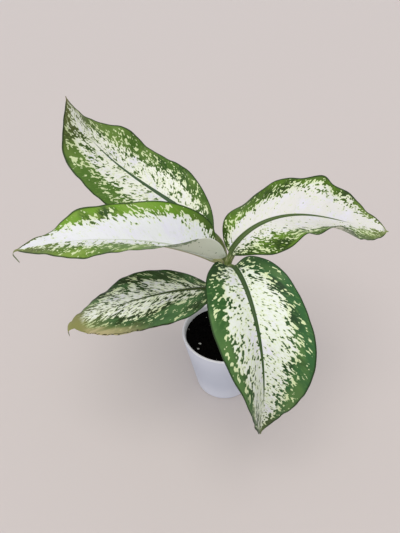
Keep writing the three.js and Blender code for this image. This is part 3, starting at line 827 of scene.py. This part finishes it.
def dry_margin(net, marks, vein, part, edge, colour):
    """The dried left margin near the tip: tan at the edge, olive further in, with dark dots."""
    left = net.times(net.math("LESS_THAN", net.parts(vein)["Y"], 0), marks.dry)
    along = net.times(net.between(part, 0.55, 0.9), left)
    ragged = net.leaf_noise(vein, 9, 7, detail=3, seed=marks.seed + 8)
    inland = net.plus(edge, net.span(ragged, -8, 8))
    colour = net.tint(colour, "#7f8a4c", net.times(net.between(inland, 18, 5), along), strength=0.8)
    tan = net.tint(rgb("#c6b98e"), "#a1996a", ragged)
    colour = net.mix(net.times(net.between(inland, 12, 3), along), colour, tan)
    dots = net.leaf_noise(vein, 3, 2, detail=0, seed=marks.seed)
    dots = net.times(net.between(dots, 0.52, 0.56), net.between(edge, 2.2, 1.4))
    dots = net.times(dots, net.times(left, net.between(part, 0.35, 0.5)))
    return net.tint(colour, "#2e2a16", dots)


def rib_band(net, marks, part, rib, colour):
    """The green band along the midrib, with a lighter line down its middle."""
    band = net.tint(rgb(marks.rib_green), marks.rib_line, net.between(rib, 0.6, 0.15))
    fades = net.between(part, RIB.end, RIB.end - RIB.fading)
    return net.mix(net.times(net.between(rib, 1.1, 0.85), fades), colour, band)


def upper_face(name, marks):
    """White centre, green margin and midrib, and the tip's own colour."""
    net = Shader(name + "_upper")
    vein = net.attribute("vein")
    part, edge, rib = net.parts(net.attribute("place"))
    white, depth, field = whiteness(net, marks)
    green = green_tones(net, marks, vein, part, edge, depth)
    colour = net.mix(white, green, white_tones(net, marks, vein, depth, field))
    if marks.dry > 0:
        colour = dry_margin(net, marks, vein, part, edge, colour)
    colour = rib_band(net, marks, part, rib, colour)
    sheen = net.leaf_noise(vein, 9, 9, detail=3, seed=marks.seed)
    cells = net.leaf_noise(vein, 0.6, 0.6)
    colour = net.tint(colour, marks.tip, net.between(part, *marks.tip_blend))
    return net.finished(colour, net.span(sheen, 0.36, 0.52), specular=0.2, relief=cells, depth=0.05)


def lower_face(name, marks):
    """The same markings, duller and paler; the pale colours also carry painted light, standing in for
    light shining through the leaf onto its shaded underside.
    """
    net = Shader(name + "_lower")
    white, _, _ = whiteness(net, marks)
    # Painted light: the underside's colours are lifted to stand in for light shining through the leaf.
    green = net.tint(rgb(marks.dark_green), "#a3b894", 0.45)
    pale = net.tint(rgb(marks.white), "#eaf2cf", 0.5)
    cells = net.leaf_noise(net.attribute("vein"), 0.8, 0.8)
    colour = net.mix(net.span(white, 0.08, 0.95), green, pale)
    return net.finished(colour, roughness=0.6, specular=0.3, relief=cells, depth=0.08)


def stalk_skin(name, marks):
    """Petiole and midrib: pale at the sheath, olive above, finely streaked along."""
    net = Shader(name + "_stalk")
    vein = net.attribute("vein")
    share, up, _ = net.parts(net.attribute("place"))
    streaks = net.leaf_noise(vein, 60, 0.8, seed=marks.seed)
    flecks = net.leaf_noise(vein, 9, 1.3, seed=marks.seed + 1)
    sheath, upper, under = marks.stalk
    tone = net.layers(
        rgb(sheath),
        (upper, share, 0.1, 0.9),
        (under, share, 0.95, 1.1),
        ("#4c5c28", streaks, 0.45, 0.7, 0.5),
        ("#c9c39f", flecks, 0.56, 0.66, 0.6),
    )
    rib = net.layers(rgb(marks.rib_line), (marks.rib_green, streaks, 0.4, 0.6))
    on_blade = net.times(net.between(share, 0.94, 1.04), net.between(up, -0.1, 0.2))
    colour = net.mix(on_blade, tone, rib)
    return net.finished(colour, roughness=0.45, specular=0.35, relief=streaks, depth=0.2)


# ---- Pot ----


def arc(centre, radius, start, end, steps):
    """Points of a rounding in a profile of radius and height, from start to end in degrees."""
    angles = np.radians(np.linspace(start, end, steps + 1))
    return [(centre[0] + radius * math.cos(a), centre[1] + radius * math.sin(a)) for a in angles]


def turned(profile, segments):
    """Rings of points of a profile of radius and height, turned about the Z axis."""
    angle = np.linspace(0, 2 * np.pi, segments, endpoint=False)
    radius, height = (np.array(column)[:, None] for column in zip(*profile))
    return np.stack([radius * np.cos(angle), radius * np.sin(angle), height + 0 * angle], -1)


def closed_body(rings, first, last):
    """Points and faces over rings, closed to the Z axis at the heights first and last."""
    count, segments = rings.shape[:2]
    points = np.concatenate([rings.reshape(-1, 3), [(0, 0, first), (0, 0, last)]])
    faces = grid_faces(count, segments, closed=True)
    last_ring, first_pole = (count - 1) * segments, count * segments
    for side in range(segments):
        after = (side + 1) % segments
        faces.append((after, side, first_pole))
        faces.append((last_ring + side, last_ring + after, first_pole + 1))
    return points, faces


def pot_profile():
    """From the foot's rounding up the outside, over the rim and down to the floor's edge."""
    rim, _, top = millimetre_box("pot")[1]
    inner_rim = rim - POT.wall
    inner_base = POT.base_radius - POT.wall + (rim - POT.base_radius) * POT.floor / top
    return [
        *arc((POT.base_radius - POT.foot_round, POT.foot_round), POT.foot_round, -90, 0, 6),
        *arc((rim - POT.rim_round, top - POT.rim_round), POT.rim_round, 0, 90, 5),
        *arc((inner_rim + POT.rim_round, top - POT.rim_round), POT.rim_round, 90, 180, 5),
        (inner_base, POT.floor),
    ]


def make_pot():
    rings = turned(pot_profile(), POT.segments)
    made = piece("pot_fine", *closed_body(rings, 0, POT.floor), [pot_glaze()])
    for hole in range(POT.drain_holes):
        drill(made, 2 * math.pi * (hole + 0.5) / POT.drain_holes)
    dress(made, "pot")


def drill(pot, angle):
    """Cuts one drain hole through the pot's floor."""
    bpy.ops.mesh.primitive_cylinder_add(
        vertices=POT.drain_segments,
        radius=POT.drain_radius * MM,
        depth=3 * POT.floor * MM,
        location=(POT.drain_circle * math.cos(angle) * MM, POT.drain_circle * math.sin(angle) * MM, 0),
    )
    bit = bpy.context.object
    cut = pot.modifiers.new("drain", "BOOLEAN")
    cut.operation = "DIFFERENCE"
    cut.object = bit
    seen = pot.evaluated_get(bpy.context.evaluated_depsgraph_get())
    drilled = bpy.data.meshes.new_from_object(seen)
    pot.modifiers.clear()
    pot.data = drilled
    bpy.data.objects.remove(bit)


def pot_glaze():
    """Satin white with a cool cast, slightly uneven, with painted light: paler towards rim and foot, a
    lighter inside, and a painted highlight along the rim's top.
    """
    net = Shader("pot_satin")
    rim, _, top = millimetre_box("pot")[1]
    place = net.millimetres()
    height = net.parts(place)["Z"]
    cloud = net.noise(place, (40, 40, 30))
    flat = net.vector("MULTIPLY", place, (1, 1, 0))
    radius = net.node("VectorMath", {0: flat}, output="Value", operation="LENGTH")
    outer = net.span(net.math("DIVIDE", height, top), POT.base_radius, rim)
    tone = net.layers(
        net.tint(rgb("#bfc5d4"), "#c4c9d6", cloud),
        # Painted light: paler towards the rim, where more light falls.
        ("#d9dde9", height, 60, top, 0.6),
        # Painted light: paler towards the foot, lifting the shade there.
        ("#dfe3ee", height, 45, 5, 0.7),
        # Painted light: a lighter inside, lifting the shade of the leaves over it.
        ("#f2f3f8", net.math("SUBTRACT", outer, radius), 1, 2),
        # Painted highlight along the rim's top.
        ("#eeeef4", height, top - 1.6, top - 0.3),
    )
    grain = net.noise(place, (0.9, 0.9, 0.9))
    return net.finished(tone, net.span(cloud, 0.36, 0.48), specular=0.45, relief=grain, depth=0.03)


# ---- Soil ----


def rolling(x, y, pitch, seed, waves=14, spread=(0.7, 1.5)):
    """Smooth random unevenness of about the given pitch, mostly within 1 either way."""
    draw = np.random.default_rng(seed)
    total = 0.0 * x
    for _ in range(waves):
        heading, phase = draw.uniform(0, 2 * np.pi, 2)
        swing = 2 * np.pi / (pitch * draw.uniform(*spread))
        total = total + np.sin(swing * (x * math.cos(heading) + y * math.sin(heading)) + phase)
    return total / math.sqrt(2 * waves)


def soil_relief(x, y):
    """How far the soil's surface lies above its level at a place."""
    clods = np.abs(rolling(x, y, SOIL.clod, 1)) + SOIL.crumb_share * np.abs(rolling(x, y, SOIL.crumb, 2))
    swells = rolling(x, y, SOIL.swell, 3)
    return SOIL.swell_height * swells + SOIL.clod_height * clods - SOIL.sunk


def soil_body(edge, hole):
    """The soil with an uneven top, and its hole for the cane down to the cane's foot."""
    bottom, foot = millimetre_box("soil")[0][2], millimetre_box("cane")[0][2]
    top = [(lerp(edge, hole, i / SOIL.rings), SOIL.level) for i in range(SOIL.rings + 1)]
    rings = turned([(POT.base_radius - POT.wall, bottom), *top, (hole, foot)], SOIL.segments)
    surface = rings[1:-1]
    inland = edge - np.hypot(surface[..., 0], surface[..., 1])
    relief = soil_relief(surface[..., 0], surface[..., 1])
    surface[..., 2] += relief * smoothstep(inland, 0, SOIL.flat_edge)
    return closed_body(rings, bottom, foot)


def make_soil():
    edge = millimetre_box("soil")[1][0]
    hole = CANE.radius + SOIL.gap
    points, faces = soil_body(edge, hole)
    kinds = [0] * len(faces)
    crumbs = strewn(hole + CRUMBS.clear, edge - CRUMBS.clear)
    for kind, grains in ((0, crumbs), (1, PERLITE)):
        grain_points, grain_faces = pile(grains)
        faces += moved_faces(grain_faces, len(points))
        kinds += [kind] * len(grain_faces)
        points = np.concatenate([points, grain_points])
    made = piece("soil_fine", points, faces, [soil_earth(), perlite_grain()], kinds)
    dress(made, "soil")


def strewn(inner, outer):
    """Places and radii of crumbs strewn evenly over a ring."""
    draw = np.random.default_rng(CRUMBS.seed)
    radius = np.sqrt(draw.uniform(inner**2, outer**2, CRUMBS.count))
    angle = draw.uniform(0, 2 * np.pi, CRUMBS.count)
    size = draw.uniform(CRUMBS.least, CRUMBS.most, CRUMBS.count)
    return list(zip(radius * np.cos(angle), radius * np.sin(angle), size))


def pile(grains):
    """Points and faces of uneven grains, each partly sunk in the soil."""
    draw = np.random.default_rng(GRAIN.seed)
    profile = arc((0, 0), 1, -GRAIN.steepest, GRAIN.steepest, GRAIN.rings)
    ball, shell = closed_body(turned(profile, GRAIN.segments), -1, 1)
    points, faces = [], []
    for index, (x, y, size) in enumerate(grains):
        height = SOIL.level + soil_relief(float(x), float(y)) + GRAIN.raised * size
        shape = ball * draw.uniform(*GRAIN.uneven, (len(ball), 1)) * draw.uniform(*GRAIN.stretched, 3)
        points.append(np.array([x, y, height]) + shape * size)
        faces += moved_faces(shell, index * len(ball))
    return np.concatenate(points), faces


def soil_earth():
    """Nearly black peat with a few lighter fibres."""
    net = Shader("soil_peat")
    place = net.millimetres()
    crumbs = net.noise(place, (2.2, 2.2, 2.2), detail=4)
    fibres = net.noise(place, (0.7, 0.7, 0.7), detail=3, seed=4)
    colour = net.layers(rgb("#020202"), ("#0b0807", crumbs, 0.35, 0.7), ("#1f1813", fibres, 0.66, 0.74))
    return net.finished(colour, roughness=0.95, specular=0.04, relief=crumbs, depth=0.8)


def perlite_grain():
    net = Shader("perlite")
    rough = net.noise(net.millimetres(), (0.6, 0.6, 0.6), detail=3)
    colour = net.tint(rgb("#a9a8a6"), "#dddcd8", rough)
    return net.finished(colour, roughness=0.9, specular=0.2, relief=rough, depth=0.3)


# ---- Cane ----


def cane_scars(height, top):
    """How far the leaf scars stand proud of the cane at each height."""
    from_scar = np.mod(height - CANE.first_scar + CANE.scar_pitch / 2, CANE.scar_pitch)
    from_scar = from_scar - CANE.scar_pitch / 2
    first, last = CANE.scars_end
    shown = (height >= CANE.bare_from) * (1 - smoothstep(height, top - first, top - last))
    return CANE.scar_proud * np.exp(-((from_scar / CANE.scar_spread) ** 2)) * shown


def make_cane():
    low, high = millimetre_box("cane")
    foot, top = low[2], high[2]
    height = np.append(foot, np.linspace(CANE.bare_from, top - CANE.dome, CANE.rows))
    dome = arc((CANE.radius - CANE.dome, top - CANE.dome), CANE.dome, 0, 90, 10)
    profile = [*zip(CANE.radius + cane_scars(height, top), height), *dome[1:]]
    rings = turned(profile, CANE.segments)
    made = piece("cane_fine", *closed_body(rings, foot, top), [cane_bark()])
    dress(made, "cane")


def cane_bark():
    """Green cane with fine streaks along it and a tan ring at every leaf scar."""
    net = Shader("cane_bark")
    place = net.millimetres()
    streaks = net.noise(place, (1.1, 1.1, 14))
    blotches = net.noise(place, (7, 7, 9), seed=6)
    from_scar = net.math("SUBTRACT", net.parts(place)["Z"], CANE.first_scar)
    ring = net.math("COSINE", net.times(from_scar, 2 * math.pi / CANE.scar_pitch))
    colour = net.layers(
        rgb("#5c6d38"),
        ("#8b9659", streaks, 0.35, 0.65),
        ("#a59a6d", blotches, 0.5, 0.7),
        ("#8a7448", ring, 0.72, 0.95, 0.85),
    )
    return net.finished(colour, roughness=0.55, specular=0.35, relief=streaks, depth=0.3)


# ---- Stage ----

FLOOR_REACH = 30000
ROOM = Values(colour="#ececf0", strength=0.7)
SUNS = {
    "ceiling_light": Values(azimuth=250, elevation=70, angle=50, strength=1.25, colour="#fffaf2"),
    "window_light": Values(azimuth=240, elevation=25, angle=70, strength=0.6, colour="#f6f8ff"),
}
# The camera stands in front, a little to the left and above, and looks down, nearly level.
CAMERA = Values(place=(-33, -402, 505), pitch=36, roll=1.3, lens=27.02)


def make_floor():
    net = Shader("floor_paint")
    corners = [(x * FLOOR_REACH, y * FLOOR_REACH, 0) for x, y in ((-1, -1), (1, -1), (1, 1), (-1, 1))]
    paint = net.finished(rgb("#cfc7c4"), roughness=0.75)
    piece("floor", corners, [(0, 1, 2, 3)], [paint], smooth=False)


def make_room():
    world = bpy.data.worlds.new("soft_room")
    bpy.context.scene.world = world
    world.use_nodes = True
    background = world.node_tree.nodes["Background"]
    background.inputs["Color"].default_value = rgb(ROOM.colour)
    background.inputs["Strength"].default_value = ROOM.strength


def make_sun(name, sun):
    """A broad light from far off, from the given azimuth and elevation."""
    data = bpy.data.lights.new(name, "SUN")
    data.energy = sun.strength
    data.angle = math.radians(sun.angle)
    data.color = rgb(sun.colour)[:3]
    lamp = bpy.data.objects.new(name, data)
    bpy.context.scene.collection.objects.link(lamp)
    lamp.rotation_euler = (math.radians(90 - sun.elevation), 0, math.radians(90 + sun.azimuth))


def make_camera():
    data = bpy.data.cameras.new("camera")
    data.lens = CAMERA.lens
    data.clip_start, data.clip_end = 0.01, 100
    camera = bpy.data.objects.new("camera", data)
    bpy.context.scene.collection.objects.link(camera)
    turn = Euler((math.radians(90 - CAMERA.pitch), 0, math.radians(-CAMERA.roll)), "ZYX")
    camera.matrix_world = Matrix.LocRotScale(Vector(CAMERA.place) * MM, turn, None)
    bpy.context.scene.camera = camera


# ---- The scene ----

bpy.context.scene.view_settings.view_transform = "Standard"
make_pot()
make_soil()
make_cane()
for leaf_name in LEAVES:
    make_leaf(leaf_name)
make_floor()
make_room()
for sun_name, sun_facts in SUNS.items():
    make_sun(sun_name, sun_facts)
make_camera()
